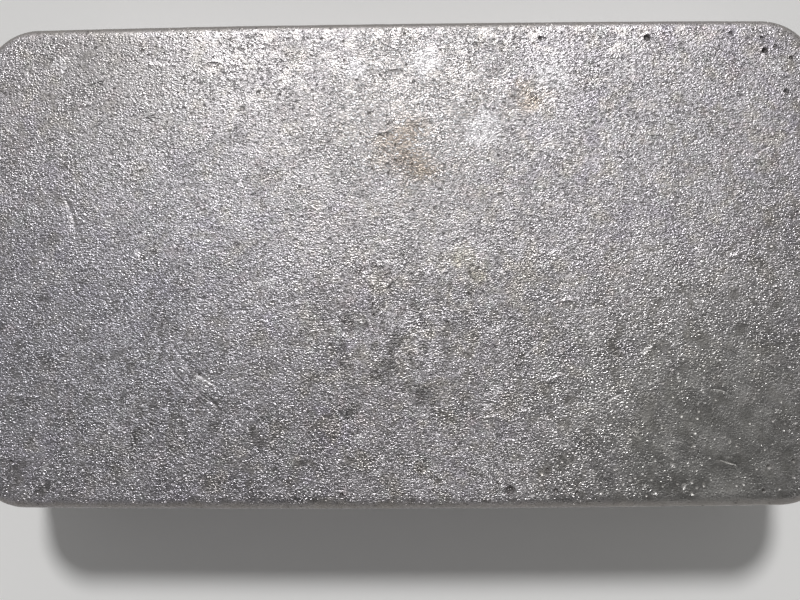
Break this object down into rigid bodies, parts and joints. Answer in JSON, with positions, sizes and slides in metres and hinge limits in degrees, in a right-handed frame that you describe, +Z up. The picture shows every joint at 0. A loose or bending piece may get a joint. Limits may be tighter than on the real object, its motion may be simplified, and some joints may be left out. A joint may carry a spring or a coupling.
{
  "type": "cast silver bar",
  "caption": "Heavy rectangular bar of cast silver with drafted walls, rounded corners and edges, a pitted mould face and a shallow hollow in its open face.",
  "frame": {"origin": "centre of the bar in plan, at the level of the floor it lies on", "axes": "+X along the bar's length, +Y across it, +Z up out of the mould face"},
  "size_m": [0.1408, 0.0818, 0.0269],
  "materials": {
    "cast_silver": "as cast, unpolished: finely pitted, satin, with faint grey and straw-coloured tarnish"
  },
  "bodies": {
    "root": {"silver_bar": "cast_silver"}
  },
  "joints": []
}
